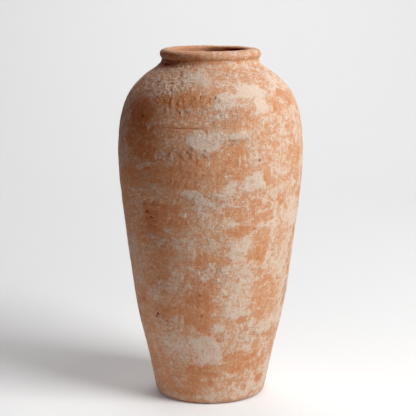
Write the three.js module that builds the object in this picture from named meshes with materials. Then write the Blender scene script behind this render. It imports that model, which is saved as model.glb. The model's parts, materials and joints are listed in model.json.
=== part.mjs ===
// A handleless terracotta amphora vase, in millimetres, +Z up, standing on z = 0 with its axis on Z.
// The jar is built the way a potter builds a large one: a floor disc, four wall sections, a neck collar
// and a rolled lip, luted together with V-shaped tongue-and-groove seams, and a coil pressed into the
// inside corner between floor and wall.
import * as THREE from "three";

// Driving dimensions
const HEIGHT = 480;
const SEGMENTS = 48; // flats around the axis
const FOOT_EDGE_RADIUS = 10; // rounding of the foot's outer edge
const FOOT_EDGE_STEPS = 5;
const RECESS_RADIUS = 50; // the underside is hollowed a little, so that the jar stands on a ring
const RECESS_DEPTH = 2.5;
const FLOOR_TOP = 14;
const WALL_THICKNESS = 11;
const FOOT_THICKNESS = 14; // the wall is thicker where it stands on the floor
const FOOT_THICKNESS_ENDS = 90;
const LIP_CREST_RADIUS = 60.3; // centre of the rolled edge
const LIP_ROLL_OUT = 8.3; // half width of the roll
const LIP_ROLL_HALF = 7.3; // half height of the roll
const LIP_FLAT_INNER_RADIUS = 54;
const LIP_STEPS = 8;
const MOUTH_RADIUS = 49.2;
const MOUTH_EDGE_DROP = 5;
const NECK_RADIUS = 65.9; // outside, at the crease below the lip
const NECK_TOP = 466.8;
const NECK_THICKENS_FROM = 425;

// Outer face from the top of the foot's rounding to the crease below the lip, as [radius, height].
const OUTER_STATIONS = [
  [76.7, FOOT_EDGE_RADIUS],
  [87, 60],
  [100.7, 120],
  [109.9, 180],
  [118.8, 250],
  [127.1, 330],
  [122.9, 385],
  [111, 420],
  [91.6, 442],
  [76.4, 453],
  [68.1, 460],
  [NECK_RADIUS, NECK_TOP],
];

// Heights at which the sections are joined, measured on the outer face
const LOWER_SEAM = 140;
const BELLY_SEAM = 298;
const SHOULDER_SEAM = 384;
const COLLAR_SEAM = 450;

// The seams: the section below ends in a V-shaped tongue, and the one above has the groove for it.
const TONGUE = 6;
const SEAM_GAP = 0.4;
const COIL_LEG = 13; // the corner coil's two flat faces
const COIL_STEPS = 4;

const outerCurve = new THREE.SplineCurve(
  OUTER_STATIONS.map(([radius, height]) => new THREE.Vector2(radius, height)),
);

/** Eased step from 0 at low to 1 at high. */
const ramp = (low, high, value) => THREE.MathUtils.smoothstep(value, low, high);

/** Wall thickness at a height. */
function thicknessAt(height) {
  const foot = (FOOT_THICKNESS - WALL_THICKNESS) * (1 - ramp(FLOOR_TOP, FOOT_THICKNESS_ENDS, height));
  const neck = (NECK_RADIUS - MOUTH_RADIUS - WALL_THICKNESS) * ramp(NECK_THICKENS_FROM, NECK_TOP, height);
  return WALL_THICKNESS + foot + neck;
}

/** Curve parameter where the outer face passes a height, by bisection. */
function parameterAt(height) {
  let low = 0;
  let high = 1;
  while (high - low > 1e-7) {
    const middle = (low + high) / 2;
    if (outerCurve.getPoint(middle).y < height) low = middle;
    else high = middle;
  }
  return (low + high) / 2;
}

/** Outer point, inner point and tangent of the wall at a curve parameter, moved along the wall by shift. */
function wallAt(parameter, shift = 0) {
  const tangent = outerCurve.getTangent(parameter);
  const normal = new THREE.Vector2(tangent.y, -tangent.x);
  const outer = outerCurve.getPoint(parameter).addScaledVector(tangent, shift);
  const inner = outer.clone().addScaledVector(normal, -thicknessAt(outer.y));
  return { outer, inner, tangent };
}

/** The three points of a V seam across the wall, from the outer face to the inner one. */
function vSeam(parameter, shift) {
  const { outer, inner, tangent } = wallAt(parameter, shift);
  const tip = outer.clone().lerp(inner, 0.5).addScaledVector(tangent, TONGUE);
  return [outer, tip, inner];
}

/** A V seam across a level joint, between an outer and an inner radius. */
function levelSeam(outerRadius, innerRadius, height) {
  return [
    new THREE.Vector2(outerRadius, height),
    new THREE.Vector2((outerRadius + innerRadius) / 2, height + TONGUE),
    new THREE.Vector2(innerRadius, height),
  ];
}

/** Closed outline of a wall section between two seams, counter-clockwise from its outer bottom edge. */
function wallOutline(bottomSeam, topSeam, fromHeight, toHeight, steps) {
  const from = parameterAt(fromHeight);
  const to = parameterAt(toHeight);
  const outerFace = [];
  const innerFace = [];
  for (let i = 1; i < steps; i++) {
    const { outer, inner } = wallAt(from + ((to - from) * i) / steps);
    outerFace.push(outer);
    innerFace.unshift(inner);
  }
  const [bottomOuter, bottomTip, bottomInner] = bottomSeam;
  return [bottomOuter, ...outerFace, ...topSeam, ...innerFace, bottomInner, bottomTip, bottomOuter];
}

/** Points of an elliptical arc, angles in degrees. */
function arc(centreX, centreY, radiusX, radiusY, fromAngle, toAngle, steps) {
  const ellipse = new THREE.EllipseCurve(
    centreX,
    centreY,
    radiusX,
    radiusY,
    THREE.MathUtils.degToRad(fromAngle),
    THREE.MathUtils.degToRad(toAngle),
    toAngle < fromAngle,
  );
  return ellipse.getPoints(steps);
}

/** The seam between floor and wall, with its height above the floor's own edge. */
function floorSeam(height) {
  const { outer } = wallAt(parameterAt(height));
  return levelSeam(outer.x, outer.x - thicknessAt(height), height);
}

/** Disc with a rounded foot, a hollowed underside and a tongue round its top edge. */
function floorDiscOutline() {
  const [footRadius] = OUTER_STATIONS[0];
  const edgeCentre = footRadius - FOOT_EDGE_RADIUS;
  return [
    new THREE.Vector2(0, RECESS_DEPTH),
    new THREE.Vector2(RECESS_RADIUS - RECESS_DEPTH, RECESS_DEPTH),
    new THREE.Vector2(RECESS_RADIUS, 0),
    ...arc(edgeCentre, FOOT_EDGE_RADIUS, FOOT_EDGE_RADIUS, FOOT_EDGE_RADIUS, -90, 0, FOOT_EDGE_STEPS),
    ...floorSeam(FLOOR_TOP),
    new THREE.Vector2(0, FLOOR_TOP),
  ];
}

/** Coil with a hollow face, pressed into the corner where the wall stands on the floor. */
function cornerCoilOutline() {
  const base = FLOOR_TOP + SEAM_GAP;
  const wallFoot = floorSeam(base)[2].x - SEAM_GAP;
  const lean = (wallAt(parameterAt(base + COIL_LEG)).inner.x - wallAt(parameterAt(base)).inner.x) / COIL_LEG;
  const corner = new THREE.Vector2(wallFoot, base);
  const top = new THREE.Vector2(wallFoot + lean * COIL_LEG, base + COIL_LEG);
  const face = [];
  for (let i = 1; i < COIL_STEPS; i++) {
    const turn = (i / COIL_STEPS) * (Math.PI / 2);
    const reach = COIL_LEG * (1 - Math.sin(turn));
    const rise = COIL_LEG * (1 - Math.cos(turn));
    face.push(new THREE.Vector2(wallFoot - reach + lean * rise, base + rise));
  }
  return [corner, top, ...face.reverse(), new THREE.Vector2(wallFoot - COIL_LEG, base), corner];
}

/** Rolled lip with a flat crest and a rounded mouth edge. */
function lipOutline() {
  const crestHeight = HEIGHT - LIP_ROLL_HALF;
  const seamHeight = NECK_TOP + SEAM_GAP;
  const underside = -THREE.MathUtils.radToDeg(Math.asin((crestHeight - seamHeight) / LIP_ROLL_HALF));
  const roll = arc(LIP_CREST_RADIUS, crestHeight, LIP_ROLL_OUT, LIP_ROLL_HALF, underside, 90, LIP_STEPS);
  const mouthEdgeWidth = LIP_FLAT_INNER_RADIUS - MOUTH_RADIUS;
  const mouthEdge = arc(
    LIP_FLAT_INNER_RADIUS,
    HEIGHT - MOUTH_EDGE_DROP,
    mouthEdgeWidth,
    MOUTH_EDGE_DROP,
    90,
    180,
    FOOT_EDGE_STEPS,
  );
  const [, groove, inner] = levelSeam(NECK_RADIUS, MOUTH_RADIUS, seamHeight);
  return [...roll, ...mouthEdge, inner, groove, roll[0]];
}

const clay = (name, color) => new THREE.MeshStandardMaterial({ name, color, roughness: 0.9, metalness: 0 });

/** A named solid of revolution about Z. */
function turned(name, outline, material) {
  const geometry = new THREE.LatheGeometry(outline, SEGMENTS).rotateX(Math.PI / 2);
  const mesh = new THREE.Mesh(geometry, material);
  mesh.name = name;
  return mesh;
}

const limewashedClay = clay("limewashed terracotta", 0xc98a5f);
const bareClay = clay("bare terracotta", 0xb9744a);

const lowerSeam = parameterAt(LOWER_SEAM);
const bellySeam = parameterAt(BELLY_SEAM);
const shoulderSeam = parameterAt(SHOULDER_SEAM);
const collarSeam = parameterAt(COLLAR_SEAM);
const collarTop = levelSeam(NECK_RADIUS, MOUTH_RADIUS, NECK_TOP);

const sections = [
  ["floor_disc", floorDiscOutline(), limewashedClay],
  ["corner_coil", cornerCoilOutline(), bareClay],
  [
    "lower_wall",
    wallOutline(floorSeam(FLOOR_TOP + SEAM_GAP), vSeam(lowerSeam, 0), FLOOR_TOP, LOWER_SEAM, 6),
    limewashedClay,
  ],
  [
    "middle_wall",
    wallOutline(vSeam(lowerSeam, SEAM_GAP), vSeam(bellySeam, 0), LOWER_SEAM, BELLY_SEAM, 6),
    limewashedClay,
  ],
  [
    "belly_wall",
    wallOutline(vSeam(bellySeam, SEAM_GAP), vSeam(shoulderSeam, 0), BELLY_SEAM, SHOULDER_SEAM, 5),
    limewashedClay,
  ],
  [
    "shoulder_wall",
    wallOutline(vSeam(shoulderSeam, SEAM_GAP), vSeam(collarSeam, 0), SHOULDER_SEAM, COLLAR_SEAM, 9),
    limewashedClay,
  ],
  [
    "neck_collar",
    wallOutline(vSeam(collarSeam, SEAM_GAP), collarTop, COLLAR_SEAM, NECK_TOP, 6),
    limewashedClay,
  ],
  ["rolled_lip", lipOutline(), limewashedClay],
];

const vase = new THREE.Group();
vase.name = "amphora_vase";
for (const [name, outline, material] of sections) vase.add(turned(name, outline, material));

export default vase;
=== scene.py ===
"""Looks of the terracotta amphora.

Each clay section is rebuilt as a fine closed mesh around the outline of its CAD node. One relief, the
same for all sections, is pressed into the skin: the slow unevenness of hand work, throwing ridges,
stipple, pits, scratches and the seams that were not quite smoothed over. The worn limewash is painted
on with dabs, placed one by one on the side that faces the camera and strewn behind, and the shader
frays their edges.

Places on the jar are given as a turn in degrees (0 faces the camera, positive to its right) and a
height in millimetres.
"""

import json

import bpy
import numpy as np
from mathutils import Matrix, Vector


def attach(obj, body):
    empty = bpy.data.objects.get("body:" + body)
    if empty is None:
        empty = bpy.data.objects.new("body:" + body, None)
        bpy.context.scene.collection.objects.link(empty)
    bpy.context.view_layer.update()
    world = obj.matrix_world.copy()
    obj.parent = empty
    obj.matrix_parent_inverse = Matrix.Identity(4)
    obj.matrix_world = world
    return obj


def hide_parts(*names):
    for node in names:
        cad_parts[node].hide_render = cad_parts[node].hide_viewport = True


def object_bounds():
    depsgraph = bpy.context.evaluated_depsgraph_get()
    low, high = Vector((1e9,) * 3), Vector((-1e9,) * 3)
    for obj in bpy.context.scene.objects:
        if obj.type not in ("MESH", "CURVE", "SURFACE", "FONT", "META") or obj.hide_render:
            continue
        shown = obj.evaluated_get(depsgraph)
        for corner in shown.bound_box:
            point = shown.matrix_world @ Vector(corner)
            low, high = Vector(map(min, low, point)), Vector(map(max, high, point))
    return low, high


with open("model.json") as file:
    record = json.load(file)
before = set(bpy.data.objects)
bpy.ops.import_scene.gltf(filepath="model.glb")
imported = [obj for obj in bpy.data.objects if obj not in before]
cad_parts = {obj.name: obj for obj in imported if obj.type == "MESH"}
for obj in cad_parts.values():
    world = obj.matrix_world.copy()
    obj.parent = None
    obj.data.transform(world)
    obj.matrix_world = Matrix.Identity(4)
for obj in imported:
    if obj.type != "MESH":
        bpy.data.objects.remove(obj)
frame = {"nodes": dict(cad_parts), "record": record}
cad_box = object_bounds()

MM = 0.001

# Mesh, in mm unless it says otherwise
COLUMNS = 576
SKIN_STEP = 1.4  # between rows where the surface shows
INSIDE_STEP = 4.0
FINE_INSIDE_STEP = 1.6  # in the neck and in the corner coil, whose inner faces curve more
FINE_INSIDE = ("neck_collar", "corner_coil")
CORNER_ANGLE = 35  # degrees: an outline turns sharper than this only at an edge
SEAM_REACH = 0.6  # corners this close belong to one seam
ON_PLANE = 0.01  # a point this close to a plane lies on it


# ---------------------------------------------------------------- outlines read from the CAD nodes


def meridian(node):
    """A CAD node's outline in the half-plane facing the camera, as (radius, height) in mm.

    Also says whether the outline closes on itself; the floor's starts and ends on the axis."""
    mesh = frame["nodes"][node].data
    points = [tuple(round(c / MM, 2) + 0.0 for c in v.co) for v in mesh.vertices]
    links = {}
    for edge in mesh.edges:
        ends = [points[i] for i in edge.vertices]
        if all(abs(x) < ON_PLANE and y < ON_PLANE for x, y, z in ends) and ends[0] != ends[1]:
            start, end = [(abs(y), z) for x, y, z in ends]
            links.setdefault(start, set()).add(end)
            links.setdefault(end, set()).add(start)
    loose = sorted(p for p, near in links.items() if len(near) == 1)
    current = loose[0] if loose else min(links)
    path = [current]
    while True:
        ahead = [p for p in sorted(links[current]) if p not in path]
        if not ahead:
            break
        current = ahead[0]
        path.append(current)
    path = np.array(path)
    radius, height = path.T
    area = np.sum(radius * np.roll(height, -1) - np.roll(radius, -1) * height)
    if area < 0:
        path = path[::-1]
    return path, not loose


def turns(path):
    """The angle in degrees that the outline turns at each point, as if it closed on itself."""
    ahead = np.roll(path, -1, 0) - path
    behind = path - np.roll(path, 1, 0)
    cross = behind[:, 0] * ahead[:, 1] - behind[:, 1] * ahead[:, 0]
    return np.abs(np.degrees(np.arctan2(cross, (behind * ahead).sum(1))))


def runs_of(path, closed):
    """Cuts an outline at its corners into smooth runs that share their end points."""
    corner = turns(path) > CORNER_ANGLE
    if closed:
        first = int(np.argmax(corner))
        path = np.roll(path, -first, 0)
        corner = np.roll(corner, -first)
        path = np.vstack([path, path[:1]])
        corner = np.append(corner, True)
    else:
        corner[[0, -1]] = True
    cuts = np.flatnonzero(corner)
    return [path[a : b + 1] for a, b in zip(cuts, cuts[1:])]


def resampled(run, step):
    """Points and outward normals every step mm along a smooth curve through a run's points."""
    chord = np.linalg.norm(np.diff(run, axis=0), axis=1)
    at = np.concatenate([[0], np.cumsum(chord)])
    count = max(1, round(at[-1] / step))
    where = np.linspace(0, at[-1], count + 1)
    if len(run) == 2:
        slope = np.repeat((run[1:] - run[:1]) / at[-1], 2, 0)
    else:
        slope = np.gradient(run, at, axis=0, edge_order=2)
    i = np.clip(np.searchsorted(at, where, side="right") - 1, 0, len(run) - 2)
    span = (at[i + 1] - at[i])[:, None]
    t = ((where - at[i])[:, None]) / span
    points = (  # cubic Hermite curves
        (2 * t**3 - 3 * t**2 + 1) * run[i]
        + (t**3 - 2 * t**2 + t) * span * slope[i]
        + (3 * t**2 - 2 * t**3) * run[i + 1]
        + (t**3 - t**2) * span * slope[i + 1]
    )
    points = np.clip(points, run.min(0), run.max(0))  # a curve never swings out past the outline
    along = np.gradient(points, axis=0)
    along /= np.linalg.norm(along, axis=1, keepdims=True)
    return points, np.column_stack([along[:, 1], -along[:, 0]])


def close_seams(outlines):
    """Moves the corners that face each other across a seam to its middle, as luted clay meets there."""
    corners = [
        (node, i)
        for node, (path, closed) in outlines.items()
        for i in np.flatnonzero(turns(path) > CORNER_ANGLE)
    ]
    place = {c: outlines[c[0]][0][c[1]].copy() for c in corners}
    for node, i in corners:
        for other, j in corners:
            gap = place[other, j] - place[node, i]
            if other > node and np.hypot(*gap) < SEAM_REACH:
                outlines[node][0][i] += gap / 2
                outlines[other][0][j] -= gap / 2


# ---------------------------------------------------------------- noise


def smooth(low, high, value):
    """Rises softly from 0 at low to 1 at high, or falls where low is the larger."""
    t = np.clip((value - low) / (high - low), 0, 1)
    return t * t * (3 - 2 * t)


def noise(points, size, seed):
    """Gradient noise between about -1 and 1, with features about size mm across."""
    random = np.random.default_rng(seed)
    order = random.permutation(256)
    slopes = random.normal(size=(256, 3))
    slopes /= np.linalg.norm(slopes, axis=1, keepdims=True)
    scaled = points / size + random.uniform(0, 64, 3)
    cell = np.floor(scaled).astype(int)
    inside = scaled - cell
    fade = inside**3 * (inside * (inside * 6 - 15) + 10)
    total = np.zeros(len(points))
    for corner in np.ndindex(2, 2, 2):
        x, y, z = (cell + corner).T & 255
        slope = slopes[order[(order[(order[x] + y) & 255] + z) & 255]]
        weight = np.prod(np.where(corner, fade, 1 - fade), axis=1)
        total += weight * ((inside - corner) * slope).sum(1)
    return 1.6 * total


# ---------------------------------------------------------------- limewash, painted in dabs

# Each dab is (turn, height, half width in degrees, half height in mm, tilt in degrees, amount).
# Amount 1 is full limewash and more is thicker, 0 is a thin haze and -1 is bare clay. Later dabs cover
# earlier ones.
NECK_AND_SHOULDER = [
    (0, 472, 200, 8, 0, -0.35),
    (40, 477, 50, 4, 0, 0.1),
    (-36, 440, 22, 15, 0, 0.55),
    (-62, 441, 12, 11, 0, 0.45),
    (-10, 446, 13, 9, 0, 0.95),
    (1, 440, 7, 6, 0, 0.6),
    (35, 452, 40, 9, 0, 0.15),
    (75, 440, 18, 14, 0, 0.45),
    (-20, 416, 22, 9, 3, -0.95),
    (-13, 426, 12, 5, 5, -0.9),
    (-28, 405, 8, 7, 0, 0.35),
    (-10, 397, 14, 11, 0, 0.05),
    (-50, 402, 16, 15, 0, -0.8),
    (-70, 400, 10, 30, 0, 0.45),
    (3, 431, 9, 4, 0, -0.25),
    (9, 419, 8, 9, 0, 0.95),
    (8, 401, 7, 9, 0, 0.4),
    (29, 428, 13, 9, 0, 1.6),
    (36, 411, 5, 12, -10, 1.5),
    (17, 431, 3, 5, 0, 0.1),
    (24, 418, 3, 4, 0, 0.5),
    (52, 430, 13, 8, 0, 0.5),
    (25, 404, 4, 5, 0, -0.2),
    (45, 435, 6, 4, 0, -0.35),
    (58, 424, 7, 6, 0, -0.6),
    (48, 411, 4, 9, 0, -0.45),
    (66, 413, 6, 8, 0, -0.35),
    (17, 391, 11, 9, 0, -0.4),
    (-22, 384, 16, 5, 0, -0.15),
    (57, 378, 6, 14, 0, -0.1),
]
BELLY = [
    (-48, 368, 15, 14, 0, -0.85),
    (-42, 350, 12, 10, 0, -0.95),
    (-50, 322, 20, 15, 0, -0.5),
    (-25, 312, 12, 8, 0, -0.65),
    (-24, 368, 8, 10, 0, 0.3),
    (-26, 351, 6, 10, 0, 0.25),
    (-33, 348, 3, 8, 0, 0.5),
    (-4, 366, 12, 10, -8, 1.4),
    (4, 370, 6, 12, 0, 0.9),
    (-4, 353, 5, 5, 0, 0.7),
    (-12, 348, 10, 7, -6, -0.45),
    (-16, 330, 16, 11, 0, -0.75),
    (0, 326, 9, 9, 0, -0.35),
    (-45, 333, 8, 4, 18, 0.4),
    (-52, 298, 6, 8, 0, 0.35),
    (-33, 304, 7, 8, 0, 0.3),
    (17, 375, 6, 5, 0, 0.8),
    (14, 348, 10, 15, 0, -0.95),
    (17.3, 341, 0.7, 8, 0, 1.2),
    (20.6, 343, 0.6, 9, 0, 0.8),
    (5, 346, 4, 10, 0, -0.5),
    (18, 328, 10, 8, 0, -0.7),
    (26, 345, 5, 13, 0, 0.3),
    (34, 372, 10, 10, 0, 0.05),
    (46, 372, 8, 13, 0, 0.35),
    (62, 393, 4, 4, 0, 0.2),
    (60, 368, 5, 9, 0, -0.3),
    (66, 372, 6, 8, 0, 0.4),
    (62, 345, 9, 13, 0, -0.4),
    (27, 312, 8, 9, 6, 1.0),
    (12, 310, 3.5, 10, -20, 0.8),
    (4, 313, 6, 6, 0, -0.4),
    (34, 298, 9, 6, 0, 0.1),
    (4.5, 298.6, 6, 1.0, -1, 1.2),
    (50, 325, 13, 4, -6, 0.6),
    (37, 316, 5, 6, 0, -0.4),
    (54, 312, 6, 6, 0, -0.4),
    (64, 318, 6, 22, 0, -0.35),
    (42, 302, 5, 5, 20, 0.5),
    (60, 304, 6, 6, 0, 0.35),
]
BELOW_THE_BELLY = [
    (-11, 297, 9, 7, -12, 0.9),
    (-12, 307, 8, 3, 0, -0.5),
    (-3, 281, 6, 12, 42, 0.85),
    (-17, 268, 2.5, 8, 0, 0.45),
    (-35, 275, 16, 14, 0, -1.0),
    (-36, 255, 16, 12, 0, -1.0),
    (-8, 256, 3, 10, 0, 0.4),
    (-15, 252, 3, 6, 0, 0.35),
    (-27, 250, 4, 6, 0, 0.35),
    (-56, 270, 8, 20, 0, 0.25),
    (16, 273, 14, 8, 0, -0.5),
    (25, 262, 10, 5, 0, -0.35),
    (-24, 262, 12, 8, 0, -0.55),
    (3, 276, 8, 5, 0, 0.35),
    (20, 249, 10, 7, 0, -0.75),
    (12, 257, 6, 3.5, 6, 0.65),
    (38, 266, 8, 6, 0, -0.5),
    (34, 286, 1.4, 12, -28, 0.7),
    (34.5, 274, 3.5, 1.6, 8, 0.6),
    (43, 288, 1.8, 13, -28, 0.6),
    (44, 272, 2, 8, 0, 0.5),
    (50, 287, 4, 8, 0, -0.6),
    (64, 268, 9, 11, 8, 0.85),
    (72, 254, 10, 14, 0, 0.85),
    (42, 254, 4, 6, 0, 0.85),
    (45, 243, 3, 8, 0, 0.6),
    (33, 254, 4, 2.5, 0, 0.5),
    (28, 245, 5, 2, 40, 0.5),
    (28, 285, 4, 6, 0, -0.4),
    (37, 281, 3, 5, 0, -0.5),
    (35, 225, 5, 24, 0, -1.0),
    (-18, 228, 8, 12, 0, 0.7),
    (-35, 233, 4, 6, 0, 0.45),
    (-33, 213, 8, 10, 0, -0.5),
    (-18, 206, 9, 15, 0, 0.35),
    (-7, 206, 5, 10, 0, -0.5),
    (-48, 232, 7, 10, 0, -0.2),
    (20, 228, 9, 9, 0, 0.95),
    (16, 213, 6, 8, 0, 0.6),
    (27, 212, 3.5, 5, 0, -0.55),
    (42, 213, 2.6, 14, 0, 0.6),
    (56, 212, 9, 12, 0, 0.35),
    (5, 210, 8, 5, 0, -0.5),
]
LOWER_PART = [
    (-25, 192, 10, 12, 0, 0.45),
    (-35, 190, 5, 8, 0, -0.35),
    (-32, 170, 11, 10, 0, 0.65),
    (-47, 158, 8, 10, 0, 0.6),
    (-64, 200, 8, 40, 0, 0.5),
    (-3, 182, 3, 3.5, 0, 1.0),
    (-4, 167, 9, 12, 0, -0.6),
    (15, 193, 9, 9, 0, 0.5),
    (27, 192, 6, 9, 0, 0.8),
    (45, 196, 4, 12, -12, 0.5),
    (57, 193, 9, 8, 0, 0.55),
    (36, 188, 5, 7, 0, -0.1),
    (12, 180, 6, 6, 0, 0.5),
    (24, 174, 7, 12, 0, 0.65),
    (43, 168, 12, 12, 0, -0.45),
    (18, 150, 10, 13, 0, 0.6),
    (44, 148, 13, 11, 0, -0.6),
    (57, 152, 5, 18, 0, -0.3),
    (66, 150, 6, 26, 0, 0.5),
    (17, 133, 9, 8, 0, 0.75),
    (27, 124, 6, 5, 0, -0.55),
    (41, 127, 10, 7, 0, -0.4),
    (-8, 147, 12, 15, 0, -0.9),
    (-26, 138, 20, 7, 0, -0.6),
    (-59, 143, 5, 5, 0, -0.9),
    (-55, 115, 14, 16, 0, 0.3),
    (-10, 124, 14, 11, 0, -0.85),
    (-38, 108, 11, 12, 0, 0.5),
    (-38, 127, 9, 5, 0, -0.2),
    (-31, 119, 2.0, 9, 0, 0.5),
    (-22.5, 119, 1.8, 11, -8, 0.65),
    (-14, 108, 2.4, 8, 0, 0.5),
    (-3, 112, 5, 10, 0, -0.85),
    (6, 112, 6, 9, 0, 0.75),
    (14, 104, 8, 6, 0, 0.35),
    (34, 111, 5, 6, 0, 0.5),
    (51, 111, 12, 10, 6, 0.8),
]
ABOVE_THE_FOOT = [
    (-30, 90, 17, 13, 0, 0.75),
    (-6, 88, 13, 13, 0, 0.95),
    (26, 90, 9, 8, 0, 0.4),
    (33, 90, 4, 10, 0, 0.65),
    (8, 96, 4, 3, 0, -0.2),
    (41, 86, 5, 7, 0, -0.3),
    (58, 56, 7, 12, 0, -0.1),
    (62, 98, 9, 16, 0, -0.25),
    (-28, 72, 18, 8, 0, 0.75),
    (0, 73, 10, 13, 0, 0.9),
    (-35, 50, 10, 9, 0, 0.35),
    (29, 69, 18, 9, 0, -0.85),
    (24, 53, 16, 8, 0, -0.8),
    (44, 56, 6, 13, 0, -0.7),
    (48, 67, 2.4, 5, 0, 0.45),
    (6, 40, 7, 12, 0, 0.2),
    (-14, 50, 13, 8, 0, -1.0),
    (0, 48, 7, 8, 0, -1.0),
    (-10, 31, 15, 8, 0, -0.75),
    (-7, 37, 3, 2.2, 0, 0.5),
    (-26, 17, 14, 6, 0, -0.6),
    (-52, 30, 15, 11, 0, -0.25),
    (13, 31, 9, 6, 0, 0.3),
    (22, 35, 12, 4, 0, -0.4),
    (45, 27, 6, 10, 0, 0.55),
    (68, 34, 8, 24, 0, 0.9),
    (66, 112, 7, 10, 0, 0.8),
    (55, 29, 6, 7, 0, -0.8),
    (30, 13, 20, 6, 0, 0.45),
    (45, 40, 8, 6, 0, 0.3),
    (-14, 10, 18, 3.5, 0, 0.35),
]
FRONT_DABS = NECK_AND_SHOULDER + BELLY + BELOW_THE_BELLY + LOWER_PART + ABOVE_THE_FOOT
BACK_DABS = 120
BACK_PALE = 0.52  # the share of the back's dabs that are limewash, not bare clay
BACK_STARTS = 78  # degrees: the middles of the back's dabs lie beyond this turn on both sides
HAZE = 0.19  # the amount where no dab lies
BARE_FADE = 0.75  # how strongly bare places show
THICKEST = 1.35
DAB_REACH = 2.4  # half sizes: no dab shows this far from its middle, however it leans
WARP_REACH = 12  # mm: further than the noise moves any point of a dab
WIDEST_DEGREE = 2.2  # mm: the length of a degree of turn at the belly, where it is longest
FLECKS = 900


def back_dabs():
    """Dabs for the side that faces away, strewn in about the front's sizes and amounts."""
    random = np.random.default_rng(7)
    dabs = []
    for _ in range(BACK_DABS):
        pale = random.random() < BACK_PALE
        dabs.append(
            (
                random.uniform(BACK_STARTS, 360 - BACK_STARTS),
                random.uniform(5, 460),
                random.uniform(3, 15),
                random.uniform(3, 15),
                random.uniform(-30, 30),
                random.uniform(0.4, 1.1) if pale else random.uniform(-1, -0.4),
            )
        )
    return dabs


def turned_from(turn, centre):
    """How far a turn is from a centre, in degrees between -180 and 180."""
    return (turn - centre + 180) % 360 - 180


def flecks(turn, height, radius):
    """Short pale strokes that the brush left on the clay, between 0 and 1."""
    random = np.random.default_rng(13)
    shown = np.zeros(len(turn))
    for _ in range(FLECKS):
        centre, level = random.uniform(0, 360), random.uniform(20, 440)
        lean, half = random.uniform(0, np.pi), random.uniform(1.8, 4.2)
        near = np.flatnonzero(np.abs(height - level) < half + 2)
        away = turned_from(turn[near], centre)
        across = np.radians(away) * radius[near]
        up = height[near] - level
        along = np.abs(across * np.cos(lean) + up * np.sin(lean))
        beside = np.abs(up * np.cos(lean) - across * np.sin(lean))
        stroke = smooth(half, 0.5 * half, along) * smooth(1.5, 0.3, beside)
        shown[near] = np.maximum(shown[near], stroke * random.uniform(0.4, 1))
    return shown


def painted(points, turn, height, radius):
    """How much limewash lies at each point: 1 is a full coat, 0 a haze, -1 bare clay."""
    warp_across = 5 * noise(points, 26, 21) + 3 * noise(points, 10, 22)
    warp_up = 4.5 * noise(points, 24, 23) + 3 * noise(points, 10, 24)
    amount = HAZE + 0.3 * noise(points, 60, 27) + 0.3 * noise(points, 22, 28)
    for centre, level, reach, rise, tilt, target in back_dabs() + FRONT_DABS:
        away = turned_from(turn, centre)
        near = np.abs(height - level) < DAB_REACH * max(rise, reach * WIDEST_DEGREE) + WARP_REACH
        half_width = np.radians(reach) * radius[near]
        warp = np.clip(np.minimum(half_width, rise) / 9, 0.15, 1)  # small dabs keep their shape
        across = np.radians(away[near]) * radius[near] + warp * warp_across[near]
        up = height[near] - level + warp * warp_up[near]
        lean = np.radians(tilt)
        along = across * np.cos(lean) + up * np.sin(lean)
        beside = up * np.cos(lean) - across * np.sin(lean)
        distance = np.hypot(along / half_width, beside / rise)
        weight = smooth(1.3, 0.7, distance)
        amount[near] += weight * (target - amount[near])
    signed = turned_from(turn, 0)
    worn_left = smooth(5, -20, signed) * smooth(-85, -55, signed)
    kept_right = smooth(38, 60, signed) * smooth(140, 100, signed)
    amount -= 0.24 * worn_left
    amount += 0.15 * kept_right
    amount = np.where(amount < 0, BARE_FADE * amount, np.minimum(amount, THICKEST))
    swirl = np.column_stack([noise(points, 7, 51 + i) for i in range(3)])
    ragged = 0.6 * noise(points + 6 * swirl, 9, 43) + 0.35 * noise(points + 3 * swirl, 4, 44)
    ragged_right = smooth(5, 40, signed) * smooth(120, 90, signed)
    amount += ragged * (1 + 0.45 * ragged_right)
    return amount + 0.8 * flecks(turn, height, radius)


# ---------------------------------------------------------------- relief in the clay, in mm

# Zones of stipple: (turn, height, half width in degrees, half height in mm, strength)
BROAD_ZONES = [(0, 474, 200, 8, 0.4), (-35, 230, 45, 120, 0.5)]
ROUGH_ZONES = [
    (-35, 440, 32, 18, 0.85),
    (-18, 415, 26, 16, 1.0),
    (8, 400, 14, 22, 0.8),
    (0, 366, 22, 14, 0.55),
    (-15, 350, 15, 10, 1.0),
    (14, 370, 10, 8, 0.8),
    (25, 345, 8, 20, 0.5),
    (-10, 318, 14, 12, 0.7),
    (-5, 290, 14, 14, 0.8),
    (25, 312, 10, 10, 0.6),
    (5, 225, 12, 25, 0.6),
    (3, 190, 8, 16, 0.7),
    (-40, 245, 12, 30, 0.7),
    (-38, 190, 10, 30, 0.7),
    (-42, 130, 8, 14, 0.7),
    (-8, 160, 8, 12, 0.7),
    (-10, 130, 10, 12, 0.5),
    (-5, 45, 12, 10, 0.6),
    (30, 100, 25, 14, 0.5),
]
SMOOTH_FLANKS = [(-92, 240, 14, 260, 0.15), (92, 240, 14, 260, 0.15)]
BACK_ZONES = 16
SKIN_ROUGH = 0.35  # the strength where no zone lies
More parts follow.
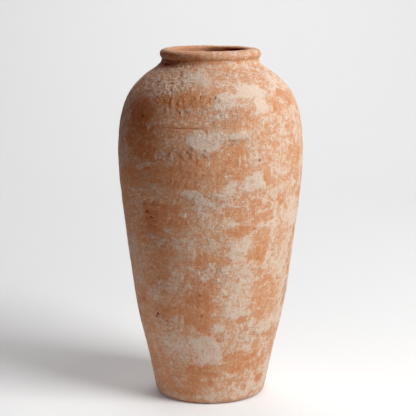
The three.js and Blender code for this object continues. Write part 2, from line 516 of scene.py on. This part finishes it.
# Incised lines, and raised ones where the depth is below zero:
# (turn, height, half length in mm, slope in degrees, half width in mm, depth in mm)
SCRATCHES = [
    (-5, 383.9, 16, -1, 0.45, 0.4),
    (-17, 384.4, 34, 0, 0.5, 0.5),
    (-14, 381.8, 30, -1, 0.7, -0.35),
    (-10, 378.5, 22, -1, 0.7, 0.3),
    (-16, 377.5, 14, -2, 0.6, 0.35),
    (14, 337.5, 8, 0, 0.7, 0.6),
    (4, 298.5, 12, -1, 0.7, 0.3),
    (4, 296.5, 14, -2, 0.7, -0.4),
    (-2, 236, 8, -55, 0.7, 0.4),
    (-13, 262, 12, -60, 0.6, 0.3),
    (20, 348, 9, 88, 0.6, 0.35),
    (25, 203, 22, 2, 0.6, 0.3),
]
# Pits seen best: (turn, height, radius in mm, depth in mm)
PITS = [
    (30.5, 342, 1.6, 1.5),
    (-44, 271, 1.8, 1.3),
    (-41, 264, 1.9, 1.4),
    (-39, 263.5, 1.4, 1.2),
    (29, 250, 1.4, 1.0),
    (-44, 128, 2.2, 1.4),
    (-46, 124, 1.9, 1.4),
    (-60, 144, 2.0, 1.2),
    (-48, 397, 1.8, 1.2),
    (-48, 220, 1.7, 1.1),
    (-20, 404, 1.5, 1.2),
    (-7, 424, 1.3, 1.0),
    (-35, 120, 1.8, 0.9),
    (-8, 160, 1.4, 1.0),
    (-7, 131, 1.4, 1.0),
    (3, 47, 1.4, 0.8),
    (15, 450, 1.3, 0.9),
    (3, 423, 1.6, 1.2),
]
STREWN_PITS = 420
ZONE_PITS = 0.2  # for each degree by mm of a rough zone
# Seams in the skin: (height, turn where the line shows best, half width of that in degrees, depth)
SEAMS = [(384.2, -45, 50, 0.3), (298.2, 8, 14, 0.12), (450, 40, 25, 0.15), (140.2, -35, 30, 0.15)]
THROWING_PITCH = 11  # mm between the ridges that the potter's hand left outside
FINGER_PITCH = 12  # and inside


def back_zones():
    """Rough zones for the side that faces away."""
    random = np.random.default_rng(17)
    return [
        (
            random.uniform(80, 280),
            random.uniform(30, 450),
            random.uniform(8, 24),
            random.uniform(10, 24),
            random.uniform(0.6, 0.9),
        )
        for _ in range(BACK_ZONES)
    ]


def zone_strength(turn, height):
    """How strong the stipple is."""
    strength = np.full(len(turn), SKIN_ROUGH)
    for centre, level, reach, rise, amount in BROAD_ZONES + ROUGH_ZONES + SMOOTH_FLANKS + back_zones():
        away = turned_from(turn, centre)
        weight = smooth(1.5, 0.4, np.hypot(away / reach, (height - level) / rise))
        strength += weight * (amount - strength)
    return strength


def pits(turn, height, radius):
    """Depth of the pits where sand grains fell out."""
    random = np.random.default_rng(11)
    strewn = [
        (
            random.uniform(0, 360),
            random.uniform(4, 470),
            random.uniform(0.7, 1.2),
            random.uniform(0.3, 0.8),
        )
        for _ in range(STREWN_PITS)
    ]
    crowded = [
        (
            centre + random.normal() * reach * 0.6,
            level + random.normal() * rise * 0.6,
            random.uniform(0.8, 1.3),
            random.uniform(0.4, 0.9) * strength,
        )
        for centre, level, reach, rise, strength in ROUGH_ZONES
        for _ in range(int(reach * rise * ZONE_PITS))
    ]
    depth = np.zeros(len(turn))
    for centre, level, size, deep in PITS + strewn + crowded:
        near = np.flatnonzero(np.abs(height - level) < 2.5 * size)
        away = turned_from(turn[near], centre)
        across = np.radians(away) * radius[near]
        distance = np.hypot(across, height[near] - level) / size
        depth[near] = np.maximum(depth[near], deep * smooth(1.3, 0.2, distance))
    return depth


def scratched(turn, height, radius, wobble):
    """Depth of the incised lines, below zero where a line is raised."""
    depth = np.zeros(len(turn))
    for centre, level, half, slope, width, deep in SCRATCHES:
        near = np.flatnonzero(np.abs(height - level) < half + 3)
        away = turned_from(turn[near], centre)
        across = np.radians(away) * radius[near]
        up = height[near] - level + wobble[near]
        lean = np.radians(slope)
        along = np.abs(across * np.cos(lean) + up * np.sin(lean))
        beside = np.abs(up * np.cos(lean) - across * np.sin(lean))
        stroke = smooth(half, 0.6 * half, along) * smooth(1.6 * width, 0.2 * width, beside)
        depth[near] += deep * stroke
    return depth


def seam_lines(turn, height, wobble):
    """Depth of the thin lines where two sections were luted together."""
    depth = np.zeros(len(turn))
    for level, centre, reach, deep in SEAMS:
        away = np.abs(turned_from(turn, centre))
        open_here = deep * smooth(reach * 1.3, reach * 0.6, away)
        depth += open_here * smooth(1.6, 0.2, np.abs(height - level + wobble))
    return depth


def skin_relief(points, turn, height, radius, coat, rough):
    """How far the skin stands out from the even outline, in mm, and the painted shade in its pits, cut
    lines and holes.
    """
    slow = 0.45 * noise(points, 110, 31) + 0.22 * noise(points, 38, 32)
    ridge = height / THROWING_PITCH + turn / 360
    phase = 2 * np.pi * ridge + 1.5 * noise(points, 45, 33)
    thrown = 0.07 * np.sin(phase) * (0.6 + 0.4 * noise(points, 50, 34))
    grain = 0.45 * noise(points, 5.2, 35) + 0.2 * noise(points, 2.8, 36)
    crumbs = 0.8 * smooth(0.1, 0.6, noise(points, 5.4, 37))
    holes = 0.6 * smooth(0.3, 0.8, noise(points, 4.2, 46))
    stipple = rough * (grain + crumbs - holes)
    thickness = 0.32 * smooth(0.1, 0.5, coat + 0.25 * noise(points, 5, 38))
    pitted = pits(turn, height, radius)
    wobble = 0.5 * noise(points, 18, 39)
    cuts = scratched(turn, height, radius, wobble) + seam_lines(turn, height, wobble)
    relief = slow + thrown + stipple + thickness - pitted - cuts
    # the second value is painted shade: pits, cut lines and stipple holes are darkened
    return relief, pitted + 0.5 * np.maximum(cuts, 0) + 0.5 * rough * holes


def inside_relief(points, turn, height):
    """Finger ridges that the potter leaves on the inner wall, in mm."""
    ridge = height / FINGER_PITCH - turn / 360
    phase = 2 * np.pi * ridge + 1.2 * noise(points, 60, 41)
    return 0.5 * np.sin(phase) + 0.3 * noise(points, 30, 42)


# ---------------------------------------------------------------- section meshes


def rows_of(node, path, closed):
    """All rows of a section: points, normals, whether each lies on the skin, and the edges' rows."""
    runs = runs_of(path, closed)
    # the skin is the run that reaches furthest out, and the longer one of two that reach as far
    skin = max(range(len(runs)), key=lambda i: runs[i][:, 0].max() + 0.1 * len(runs[i]))
    inside_step = FINE_INSIDE_STEP if node in FINE_INSIDE else INSIDE_STEP
    points, normals, on_skin, edges = [], [], [], []
    for i, run in enumerate(runs):
        along, outward = resampled(run, SKIN_STEP if i == skin else inside_step)
        if i == skin:
            skin_end = outward[-1].copy()
        if i == skin + 1:  # this run's first point is the skin's last one
            outward[0] = skin_end
        edges.append(len(points))
        points += list(along[:-1])
        normals += list(outward[:-1])
        on_skin += [i in (skin, skin + 1)] + [i == skin] * (len(along) - 2)
    if not closed:
        points.append(along[-1])
        normals.append(outward[-1])
        on_skin.append(False)
    elif skin == len(runs) - 1:
        normals[0], on_skin[0] = skin_end, True
    return np.array(points), np.array(normals), np.array(on_skin), edges


# What the shader reads on clay that was never washed: the coat, its painted shade, and how rough
UNWASHED = {"coat": -0.6, "painted_shade": 0.0, "rough": 0.3}
# painted shade on the inner walls, where little light reaches inside the jar
INNER_WALL_SHADE = 0.75  # how dark the inner wall is
INNER_WALL_SHADE_STARTS = 60  # mm above the ground
RIDGES_START = 20  # mm from the axis: the floor's middle has no finger ridges
# Where the outline touches its box, the relief is set in: (start, end, depth) in mm
BELLY_INSET = (124.5, 127, 0.8)
LIP_INSET = (476, 480, 0.9)


def mouth(turn, height, radius):
    """How unwashed the inner side of the lip is, and the painted shade on its inner edge, which is
    darkest at the back right, where the rim shades the inner wall.
    """
    above_neck = smooth(440, 466, height)
    unwashed = smooth(58, 52, radius) * above_neck
    shaded_back_right = smooth(95, 125, turn) * smooth(200, 170, turn)
    shaded_inner_edge = smooth(55, 52.5, radius) * smooth(479.6, 477.5, height) * above_neck
    # painted shade on the lip's inner edge, deepest at the back right, where the rim shades the wall
    return unwashed, (0.4 + 0.4 * shaded_back_right) * shaded_inner_edge


def surface(points, turn, height, radius, skin):
    """The relief of a section's points in mm, and the values that the shader reads there."""
    marks = {name: np.full(len(points), value) for name, value in UNWASHED.items()}
    relief = inside_relief(points, turn, height) * (radius > RIDGES_START)
    at = np.flatnonzero(skin)
    place = points[at], turn[at], height[at], radius[at]
    coat = marks["coat"][at] = painted(*place)
    rough = marks["rough"][at] = zone_strength(turn[at], height[at])
    relief[at], marks["painted_shade"][at] = skin_relief(*place, coat, rough)
    # painted shade: the inner walls are darkened where little light reaches
    marks["painted_shade"][~skin & (height > INNER_WALL_SHADE_STARTS)] = INNER_WALL_SHADE
    # the mouth's inner edge gets more painted shade, most at the back right
    unwashed, mouth_shade = mouth(turn, height, radius)
    marks["coat"] += unwashed * (UNWASHED["coat"] - marks["coat"])
    marks["painted_shade"] = np.maximum(marks["painted_shade"], mouth_shade)

    relief *= 1 - smooth(6, 1.5, height)  # the standing ring stays flat
    for (start, end, depth), value in ((BELLY_INSET, radius), (LIP_INSET, height)):
        relief -= depth * smooth(start, end, value)
    return relief, marks


def within_cad_box(points):
    """Points in mm, drawn in where they would leave the CAD model's box."""
    widest, top = cad_box[1][0] / MM, cad_box[1][2] / MM
    reach = np.hypot(points[:, 0], points[:, 1])
    points[:, :2] *= (np.minimum(reach, widest) / reach)[:, None]
    points[:, 2] = np.clip(points[:, 2], 0, top)
    return points


def quads_between(index, closed):
    """Faces between each row of points and the next, and from the last to the first if it closes."""
    low = index if closed else index[:-1]
    high = np.roll(index, -1, 0) if closed else index[1:]
    quads = np.stack([low, np.roll(low, -1, 1), np.roll(high, -1, 1), high], -1)
    return quads.reshape(-1, 4).tolist()


def fans(index):
    """Faces that close the first and the last row around two poles, which follow the rows' points."""
    bottom, top = index.size, index.size + 1
    first, last = index[0], index[-1]
    below = np.column_stack([np.roll(first, -1), first, np.full(COLUMNS, bottom)])
    above = np.column_stack([last, np.roll(last, -1), np.full(COLUMNS, top)])
    return below.tolist() + above.tolist()


def section_mesh(node, path, closed):
    """A fine closed mesh of one clay section, with its relief, and its paint and painted shade as
    attributes.
    """
    profile, normals, on_skin, edges = rows_of(node, path, closed)
    if not closed:  # the two points on the axis become poles
        poles = profile[[0, -1], 1]
        profile, normals, on_skin = profile[1:-1], normals[1:-1], on_skin[1:-1]
        edges = [e - 1 for e in edges if e > 0]
    rows = len(profile)
    turn = np.tile(np.arange(COLUMNS) * 360 / COLUMNS, rows)
    radius = np.repeat(profile[:, 0], COLUMNS)
    height = np.repeat(profile[:, 1], COLUMNS)
    skin = np.repeat(on_skin, COLUMNS)
    ring = np.column_stack([np.sin(np.radians(turn)), -np.cos(np.radians(turn))])
    outward, upward = np.repeat(normals, COLUMNS, 0).T
    points = np.column_stack([ring * radius[:, None], height])
    relief, marks = surface(points, turn, height, radius, skin)
    points += np.column_stack([ring * outward[:, None], upward]) * relief[:, None]
    points = within_cad_box(points)

    index = np.arange(rows * COLUMNS).reshape(rows, COLUMNS)
    faces = quads_between(index, closed)
    if not closed:
        faces += fans(index)
        points = np.vstack([points, [[0, 0, z] for z in poles]])
        marks = {name: np.append(values, [UNWASHED[name]] * 2) for name, values in marks.items()}

    mesh = bpy.data.meshes.new(node + "_clay")
    mesh.from_pydata((points * MM).tolist(), [], faces)
    mesh.shade_smooth()
    mark_edges(mesh, index, edges)
    for name, values in marks.items():
        mesh.attributes.new(name, "FLOAT", "POINT").data.foreach_set("value", values.astype(np.float32))
    return mesh


def mark_edges(mesh, index, edge_rows):
    """Keeps the shading crisp along the rows where the outline has a corner."""
    row = np.full(len(mesh.vertices), -1)
    for e in edge_rows:
        row[index[e]] = e
    ends = np.zeros(len(mesh.edges) * 2, int)
    mesh.edges.foreach_get("vertices", ends)
    a, b = row[ends.reshape(-1, 2)].T
    sharp = (a >= 0) & (a == b)
    mesh.attributes.new("sharp_edge", "BOOLEAN", "EDGE").data.foreach_set("value", sharp)


# ---------------------------------------------------------------- materials

BARE_CLAY = (0.55, 0.247, 0.115)
PALE_CLAY = (0.60, 0.345, 0.205)
LIMEWASH = (0.655, 0.525, 0.42)
# near-black clay for the painted shade in hollows and on the inner walls
SHADE_COLOUR = (0.17, 0.075, 0.04)
RED_CLAY = (0.50, 0.22, 0.11)
BURNT_CLAY = (0.46, 0.175, 0.07)
GRIT = (0.30, 0.14, 0.075)
SPECULAR = 0.3
BUMP_HEIGHT = 0.0032  # metres, as are the sizes below

# Brush strokes: (lean in degrees, size along x, y and z)
LEVEL_STROKES = (6, (0.013, 0.013, 0.0015))
UPRIGHT_STROKES = (4, (0.0015, 0.0015, 0.011))
SLANTING_STROKES = (-48, (0.012, 0.003, 0.0016))
NECK_STARTS = (0.44, 0.42)  # no upright stroke above the first height, all of them below the second
# How much of the clay the wash hides: the thin film at most, and with the crust on it
FILM_HIDES = 0.5
CRUST_HIDES = 0.94


class Graph:
    """Short ways to add and link the nodes of a material."""

    def __init__(self, material):
        self.tree = material.node_tree
        self.place = self.add("ShaderNodeTexCoord").outputs["Object"]

    def add(self, kind, **settings):
        node = self.tree.nodes.new(kind)
        for key, value in settings.items():
            if key in node.inputs:
                node.inputs[key].default_value = value
            else:
                setattr(node, key, value)
        return node

    def link(self, source, target):
        self.tree.links.new(source, target)

    def attribute(self, name):
        return self.add("ShaderNodeAttribute", attribute_name=name).outputs["Fac"]

    def maths(self, operation, a, b=0.0):
        node = self.add("ShaderNodeMath", operation=operation)
        for i, value in enumerate((a, b)):
            if isinstance(value, (int, float)):
                node.inputs[i].default_value = value
            else:
                self.link(value, node.inputs[i])
        return node.outputs[0]

    def plus(self, a, b):
        return self.maths("ADD", a, b)

    def minus(self, a, b):
        return self.maths("SUBTRACT", a, b)

    def times(self, a, b):
        return self.maths("MULTIPLY", a, b)

    def swing(self, value, strength):
        """A value around 0.5 made to swing around 0."""
        return self.times(self.minus(value, 0.5), strength)

    def blend(self, factor, a, b):
        return self.plus(a, self.times(factor, self.minus(b, a)))

    def ramp(self, value, low, high, to_low=0.0, to_high=1.0):
        node = self.add("ShaderNodeMapRange", interpolation_type="SMOOTHSTEP")
        self.link(value, node.inputs["Value"])
        node.inputs["From Min"].default_value = low
        node.inputs["From Max"].default_value = high
        node.inputs["To Min"].default_value = to_low
        node.inputs["To Max"].default_value = to_high
        return node.outputs[0]

    def mix(self, factor, a, b):
        node = self.add("ShaderNodeMix", data_type="RGBA")
        self.link(factor, node.inputs["Factor"])
        sockets = [s for s in node.inputs if s.type == "RGBA"]
        for socket, value in zip(sockets, (a, b)):
            if isinstance(value, tuple):
                socket.default_value = (*value, 1)
            else:
                self.link(value, socket)
        return next(s for s in node.outputs if s.type == "RGBA")

    def texture(self, vector, scale, detail, roughness, distortion):
        node = self.add("ShaderNodeTexNoise", Scale=scale, Detail=detail)
        node.inputs["Roughness"].default_value = roughness
        node.inputs["Distortion"].default_value = distortion
        self.link(vector, node.inputs["Vector"])
        return node.outputs[0]

    def grain(self, scale, detail, roughness=0.5, distortion=0.0):
        return self.texture(self.place, scale, detail, roughness, distortion)

    def streaks(self, lean, size):
        """Noise drawn out into strokes."""
        mapping = self.add("ShaderNodeMapping", vector_type="TEXTURE", Scale=size)
        mapping.inputs["Rotation"].default_value = (0, np.radians(lean), 0)
        self.link(self.place, mapping.inputs["Vector"])
        return self.texture(mapping.outputs["Vector"], 1.0, 2.0, 0.55, 0.3)

    def curls(self, scale, distortion):
        """Thin curling lines, with 0 along their middle."""
        return self.maths("ABSOLUTE", self.minus(self.grain(scale, 1, 0.5, distortion), 0.5))


def brush_strokes(graph):
    """Level strokes that turn upright in some places and slanting in others."""
    level = graph.streaks(*LEVEL_STROKES)
    upright = graph.streaks(*UPRIGHT_STROKES)
    slanting = graph.streaks(*SLANTING_STROKES)
    split = graph.add("ShaderNodeSeparateXYZ")
    graph.link(graph.place, split.inputs[0])
    below_neck = graph.ramp(split.outputs["Z"], *NECK_STARTS)
    turned_up = graph.times(below_neck, graph.ramp(graph.grain(17, 2), 0.46, 0.54))
    brush = graph.blend(turned_up, level, upright)
    return graph.blend(graph.ramp(graph.grain(27, 1), 0.54, 0.6), brush, slanting)


def worn_wash(graph, coat, fibre, fine):
    """How hazy the clay is and how much of it the limewash hides, both between 0 and 1.

    The coat's edge is frayed by the strokes, by thin curls of two sizes and by the clay's grain."""
    brushed = graph.ramp(graph.grain(24, 1), 0.4, 0.6, 1.2, 3.4)
    frayed = graph.plus(coat, graph.swing(brush_strokes(graph), brushed))
    frayed = graph.plus(frayed, graph.ramp(graph.curls(105, 1.4), 0.0, 0.04, 0.8, -0.1))
    frayed = graph.plus(frayed, graph.ramp(graph.curls(190, 1.0), 0.0, 0.035, 0.7, -0.1))
    frayed = graph.plus(frayed, graph.swing(fibre, 2.3))
    frayed = graph.plus(frayed, graph.swing(fine, 2.0))
    haze = graph.ramp(frayed, -1.1, 0.4)
    film = graph.ramp(graph.plus(coat, graph.swing(fibre, 0.8)), -0.1, 1.1, 0, FILM_HIDES)
    crust = graph.ramp(frayed, 0.2, 0.95)
    return haze, graph.plus(film, graph.times(crust, graph.minus(CRUST_HIDES, film)))


def clay_material(name, painted_on):
    """Unglazed terracotta. painted_on adds the worn limewash from the mesh's coat attribute."""
    material = bpy.data.materials.new(name)
    material.use_nodes = True
    graph = Graph(material)
    shader = material.node_tree.nodes["Principled BSDF"]
    coat, painted_shade, rough = (graph.attribute(mark) for mark in UNWASHED)
    coarse = graph.grain(22, 3)
    fibre = graph.grain(210, 5, 0.62, 2.2)
    fine = graph.grain(480, 3, 0.6, 0.8)
    speck = graph.grain(800, 2)
    haze, cover = worn_wash(graph, coat, fibre, fine)

    clay = graph.mix(haze, BARE_CLAY, PALE_CLAY)
    reddish = graph.ramp(coarse, 0.45, 0.75, 0, 0.5)
    clay = graph.mix(reddish, clay, RED_CLAY)
    most_worn = graph.ramp(coat, -0.5, -1.1, 0, 0.4)
    clay = graph.mix(most_worn, clay, BURNT_CLAY)
    colour = graph.mix(cover, clay, LIMEWASH) if painted_on else clay
    pale_specks = graph.ramp(speck, 0.6, 0.74, 0, 0.25)
    colour = graph.mix(pale_specks, colour, LIMEWASH)
    dark_specks = graph.ramp(speck, 0.42, 0.28, 0, 0.45)
    colour = graph.mix(dark_specks, colour, GRIT)
    # painted shade: pits, cut lines, stipple holes and the inner walls are darkened towards near-black
    # clay
    shade_amount = graph.ramp(painted_shade, 0.15, 0.8, 0, 0.85)
    colour = graph.mix(shade_amount, colour, SHADE_COLOUR)
    graph.link(colour, shader.inputs["Base Color"])
    graph.link(graph.ramp(cover, 0, 1, 0.82, 0.93), shader.inputs["Roughness"])
    shader.inputs["Specular IOR Level"].default_value = SPECULAR

    height = graph.plus(graph.times(fibre, 0.55), graph.times(fine, 0.35))
    height = graph.plus(height, graph.times(speck, 0.12))
    height = graph.plus(height, graph.times(cover, 0.16))
    bump = graph.add("ShaderNodeBump", Distance=BUMP_HEIGHT)
    graph.link(height, bump.inputs["Height"])
    graph.link(graph.ramp(rough, 0.2, 1, 0.5, 1.0), bump.inputs["Strength"])
    graph.link(bump.outputs["Normal"], shader.inputs["Normal"])
    return material


# ---------------------------------------------------------------- the object


def build_sections():
    """One piece for each CAD node, in its place and with its finish."""
    finish = {
        "limewashed_clay": clay_material("limewashed terracotta", True),
        "bare_clay": clay_material("bare terracotta", False),
    }
    slots = {s["node"]: s["material_slot"] for s in frame["record"]["subparts"]}
    outlines = {node: meridian(node) for node in sorted(frame["nodes"])}
    close_seams(outlines)
    pieces = []
    for node, (path, closed) in outlines.items():
        mesh = section_mesh(node, path, closed)
        piece = bpy.data.objects.new(node + "_clay", mesh)
        bpy.context.scene.collection.objects.link(piece)
        mesh.materials.append(finish[slots[node]])
        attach(piece, "root")
        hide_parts(node)
        pieces.append(piece)
    return pieces


# ---------------------------------------------------------------- stage, light and camera

FLOOR_FRONT = -2.6
FLOOR_BACK = 1.6
SWEEP_RADIUS = 1.2
SWEEP_STEPS = 32
BACKDROP_TOP = 3.0
BACKDROP_HALF_WIDTH = 4.0
PAPER = (0.8, 0.8, 0.8, 1)
SURROUND = (0.82, 0.82, 0.82, 1)


def build_backdrop():
    """A pale floor that sweeps up into a wall behind the jar."""
    profile = [(FLOOR_FRONT, 0.0), (FLOOR_BACK, 0.0)]
    for i in range(1, SWEEP_STEPS + 1):
        a = np.pi / 2 * i / SWEEP_STEPS
        profile.append((FLOOR_BACK + SWEEP_RADIUS * np.sin(a), SWEEP_RADIUS * (1 - np.cos(a))))
    profile.append((FLOOR_BACK + SWEEP_RADIUS, BACKDROP_TOP))
    vertices = [(x, y, z) for y, z in profile for x in (-BACKDROP_HALF_WIDTH, BACKDROP_HALF_WIDTH)]
    faces = [(2 * i, 2 * i + 1, 2 * i + 3, 2 * i + 2) for i in range(len(profile) - 1)]
    mesh = bpy.data.meshes.new("backdrop")
    mesh.from_pydata(vertices, [], faces)
    mesh.shade_smooth()
    backdrop = bpy.data.objects.new("backdrop", mesh)
    bpy.context.scene.collection.objects.link(backdrop)
    paper = bpy.data.materials.new("pale paper")
    paper.use_nodes = True
    shader = paper.node_tree.nodes["Principled BSDF"]
    shader.inputs["Base Color"].default_value = PAPER
    shader.inputs["Roughness"].default_value = 0.9
    shader.inputs["Specular IOR Level"].default_value = 0.1
    mesh.materials.append(paper)
    return backdrop


def area_light(name, place, aim, size, power):
    """A soft light that the camera doesn't see; lengths are in metres and the power is in watts."""
    data = bpy.data.lights.new(name, "AREA")
    data.shape = "RECTANGLE"
    data.size, data.size_y = size
    data.energy = power
    light = bpy.data.objects.new(name, data)
    light.location = place
    light.rotation_euler = (Vector(aim) - Vector(place)).to_track_quat("-Z", "Y").to_euler()
    light.visible_camera = False
    bpy.context.scene.collection.objects.link(light)
    return light


def collection_of(name, objects):
    """A collection that only says which objects a light falls on, or which ones cast its shadows."""
    collection = bpy.data.collections.new(name)
    for thing in objects:
        collection.objects.link(thing)
    return collection


def build_lights(backdrop, pieces):
    """A soft key from the right and in front, a weak top light and one for the wall.

    Two small lights brighten the paper at the foot, which takes them without a shadow of the jar, and a
    low one from the left reaches the jar only."""
    area_light("key", (1.80, -1.15, 1.72), (0, 0, 0.2), (1.35, 0.9), 71)
    area_light("overhead", (0.8, -0.5, 2.5), (0, 0, 0.3), (1.0, 1.0), 12.5)
    area_light("backdrop_top", (0, 1.5, 2.7), (0, 2.5, 0.9), (1.8, 1.8), 43.5)
    paper_only = collection_of("paper_only", [backdrop])
    for light in (
        area_light("shadow_light", (-0.15, 0.08, 0.35), (-0.12, 0.08, 0), (0.2, 0.2), 0.12),
        area_light("foot_light", (-0.02, -0.18, 0.35), (-0.02, -0.15, 0), (0.3, 0.2), 0.28),
    ):
        light.light_linking.receiver_collection = paper_only
        light.light_linking.blocker_collection = paper_only
    low_fill = area_light("low_fill", (-0.42, -0.34, 0.05), (-0.06, -0.05, 0.06), (0.3, 0.1), 0.05)
    low_fill.data.spread = np.radians(70)
    low_fill.light_linking.receiver_collection = collection_of("jar_only", pieces)


def build_surround():
    """A pale surround beyond the backdrop, which the camera sees but which lights nothing."""
    world = bpy.data.worlds.new("studio")
    bpy.context.scene.world = world
    world.use_nodes = True
    world.node_tree.nodes["Background"].inputs["Color"].default_value = SURROUND
    seen_by = world.cycles_visibility
    seen_by.diffuse = seen_by.glossy = seen_by.transmission = seen_by.scatter = False


CAMERA_DISTANCE = 1.9517
CAMERA_HEIGHT = 0.6126
CAMERA_SIDE = -0.0033
CAMERA_PITCH = 10.26  # degrees below the horizon
LENS = 124.0
SENSOR_WIDTH = 36
BLACK_LEVEL = (0.007, 0.022, 0.0165)  # lowest in red, so that the shadows turn warmer


def build_camera():
    """A long lens in front of the jar and a little above it."""
    data = bpy.data.cameras.new("camera")
    data.lens = LENS
    data.sensor_width = SENSOR_WIDTH
    camera = bpy.data.objects.new("camera", data)
    camera.location = (CAMERA_SIDE, -CAMERA_DISTANCE, CAMERA_HEIGHT)
    camera.rotation_euler = (np.radians(90 - CAMERA_PITCH), 0, 0)
    bpy.context.scene.collection.objects.link(camera)
    bpy.context.scene.camera = camera


def set_view():
    """A plain view whose shadows are a little deeper and warmer than the scene's."""
    view = bpy.context.scene.view_settings
    view.view_transform = "Standard"
    view.use_curve_mapping = True
    view.curve_mapping.black_level = BLACK_LEVEL
    view.curve_mapping.update()


build_camera()
build_lights(build_backdrop(), build_sections())
build_surround()
set_view()
